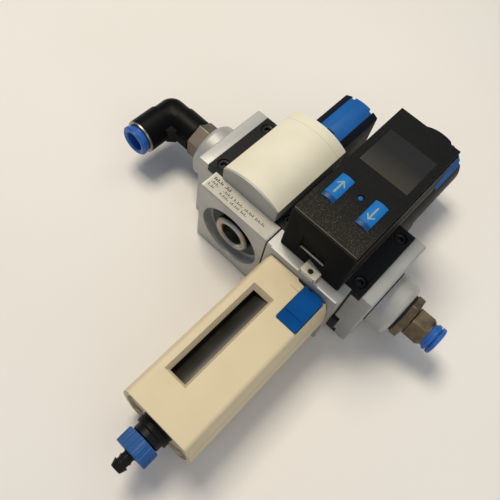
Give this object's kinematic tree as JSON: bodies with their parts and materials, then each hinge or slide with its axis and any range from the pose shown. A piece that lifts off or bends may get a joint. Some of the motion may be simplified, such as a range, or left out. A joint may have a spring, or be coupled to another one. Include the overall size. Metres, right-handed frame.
{
  "type": "air pressure regulator with filter, on-off valve and pressure sensor",
  "caption": "Compressed-air service unit lying on its back: a hand-operated on-off valve beside a filter regulator with a pressure sensor, push-in fittings and a guarded bowl with a drain.",
  "frame": {"origin": "centre of the joint between the two modules, on the port line, at the back face", "axes": "+X in the direction of flow along the port line, +Y from the bowl to the knobs, +Z from the back face to the front with the display"},
  "size_m": [0.1825, 0.2194, 0.0775],
  "materials": {
    "cast": "matt die casting, lightly grained",
    "black": "black moulded plastic, fine grain",
    "cream": "cream moulded plastic, smooth satin",
    "guard": "warm cream moulded plastic",
    "label": "printed film, satin",
    "blue": "blue moulded plastic, satin gloss",
    "nickel": "nickel-plated brass, machined",
    "brass": "dulled brass with thin nickel",
    "steel": "zinc-plated steel",
    "rubber": "black nitrile rubber",
    "clear": "smoked clear polycarbonate",
    "filter": "sintered porous plastic",
    "screen": "dark display window",
    "board": "green circuit board"
  },
  "bodies": {
    "base": {"channel_seals": "rubber", "circuit_board": "board", "diaphragm": "rubber", "diaphragm_plate": "steel", "display_window": "screen", "exhaust_thread_ring": "nickel", "filter_element": "filter", "filter_retainer": "black", "inlet_connector_frame": "black", "inlet_connector_screws": "steel", "inlet_port_plate": "cast", "inlet_stud": "nickel", "inlet_thread_seal": "rubber", "module_connector_frame": "black", "module_connector_screws": "steel", "outlet_connector_frame": "black", "outlet_connector_screws": "steel", "outlet_fitting_body": "brass", "outlet_gripping_ring": "steel", "outlet_port_plate": "cast", "outlet_reducer": "brass", "outlet_thread_seal": "rubber", "outlet_tube_seal": "rubber", "poppet_spring": "steel", "regulating_spring": "steel", "regulator_body": "cast", "regulator_bonnet": "black", "sensor_case": "black", "sensor_face": "black", "sensor_mounting_plate": "cream", "spring_tube": "black", "swirl_baffle": "black", "valve_body": "cast", "valve_cover": "cream", "valve_rating_plate": "label"},
    "elbow": {"inlet_elbow_body": "black", "inlet_clamp_ring": "nickel", "inlet_tube_seal": "rubber", "inlet_gripping_ring": "steel"},
    "inlet_release": {"inlet_release_ring": "blue"},
    "outlet_release": {"outlet_release_ring": "blue"},
    "valve_handle": {"valve_knob": "black", "valve_stem": "steel"},
    "valve_lock": {"valve_lock_slide": "blue"},
    "spool": {"valve_spool": "brass"},
    "setting_knob": {"regulator_knob": "black", "adjusting_spindle": "steel"},
    "setting_lock": {"regulator_lock_slide": "blue"},
    "seat_nut": {"spring_seat": "brass"},
    "main_poppet": {"poppet": "rubber"},
    "bowl_unit": {"bowl": "clear", "bowl_guard": "guard", "bowl_seal": "rubber", "drain_body": "black"},
    "bowl_release": {"bowl_release_slide": "blue"},
    "drain_knob": {"drain_nut": "blue"},
    "drain_tube": {"drain_stem": "black"},
    "button_up": {"up_button": "blue"},
    "button_down": {"down_button": "blue"},
    "button_edit": {"edit_button": "blue"}
  },
  "joints": [
    {"name": "elbow_swivel", "type": "hinge", "parent": "base", "child": "elbow", "pos_m": [-0.0706, 0, 0.02265], "axis": [1, 0, 0], "continuous": true},
    {"name": "inlet_release_press", "type": "slide", "parent": "elbow", "child": "inlet_release", "axis": [0, 1, 0], "range_m": [0, 0.0015], "stiffness_N_per_m": 400, "springref_m": -0.001},
    {"name": "outlet_release_press", "type": "slide", "parent": "base", "child": "outlet_release", "axis": [-1, 0, 0], "range_m": [0, 0.0015], "stiffness_N_per_m": 400, "springref_m": -0.001},
    {"name": "valve_turn", "type": "hinge", "parent": "base", "child": "valve_handle", "pos_m": [-0.02, 0.03, 0.02265], "axis": [0, 1, 0], "range_deg": [0, 90]},
    {"name": "valve_lock_slide_out", "type": "slide", "parent": "valve_handle", "child": "valve_lock", "axis": [0, 1, 0], "range_m": [0, 0.008]},
    {"name": "spool_shift", "type": "slide", "parent": "base", "child": "spool", "axis": [0, -1, 0], "range_m": [0, 0.004]},
    {"name": "setting_turn", "type": "hinge", "parent": "base", "child": "setting_knob", "pos_m": [0.02, 0.045, 0.02265], "axis": [0, 1, 0], "range_deg": [-1440, 1440]},
    {"name": "setting_lock_slide_out", "type": "slide", "parent": "setting_knob", "child": "setting_lock", "axis": [0, 1, 0], "range_m": [0, 0.008]},
    {"name": "seat_nut_travel", "type": "slide", "parent": "base", "child": "seat_nut", "axis": [0, -1, 0], "range_m": [-0.006, 0.006], "deforming": ["regulating_spring"]},
    {"name": "poppet_lift", "type": "slide", "parent": "base", "child": "main_poppet", "axis": [0, -1, 0], "range_m": [0, 0.0015], "stiffness_N_per_m": 400, "springref_m": -0.002, "deforming": ["poppet_spring"]},
    {"name": "bowl_bayonet_turn", "type": "hinge", "parent": "base", "child": "bowl_unit", "pos_m": [0.02, -0.0307, 0.02265], "axis": [0, -1, 0], "range_deg": [0, 40]},
    {"name": "bowl_release_press", "type": "slide", "parent": "bowl_unit", "child": "bowl_release", "axis": [0, -1, 0], "range_m": [0, 0.004], "stiffness_N_per_m": 250, "springref_m": -0.002},
    {"name": "drain_turn", "type": "hinge", "parent": "bowl_unit", "child": "drain_knob", "pos_m": [0.02, -0.1235, 0.02265], "axis": [0, 1, 0], "range_deg": [0, 360]},
    {"name": "drain_stem_travel", "type": "slide", "parent": "bowl_unit", "child": "drain_tube", "axis": [0, -1, 0], "range_m": [0, 0.0015]},
    {"name": "up_press", "type": "slide", "parent": "base", "child": "button_up", "axis": [0, 0, -1], "range_m": [0, 0.0006], "stiffness_N_per_m": 600, "springref_m": -0.0008},
    {"name": "down_press", "type": "slide", "parent": "base", "child": "button_down", "axis": [0, 0, -1], "range_m": [0, 0.0006], "stiffness_N_per_m": 600, "springref_m": -0.0008},
    {"name": "edit_press", "type": "slide", "parent": "base", "child": "button_edit", "axis": [0, 0, -1], "range_m": [0, 0.0006], "stiffness_N_per_m": 600, "springref_m": -0.0008}
  ],
  "couplings": [
    {"joint": "valve_turn", "follows": "spool_shift", "rad_per_m": 392.31},
    {"joint": "setting_turn", "follows": "seat_nut_travel", "rad_per_m": 4184.6},
    {"joint": "drain_turn", "follows": "drain_stem_travel", "rad_per_m": 4184.6}
  ]
}
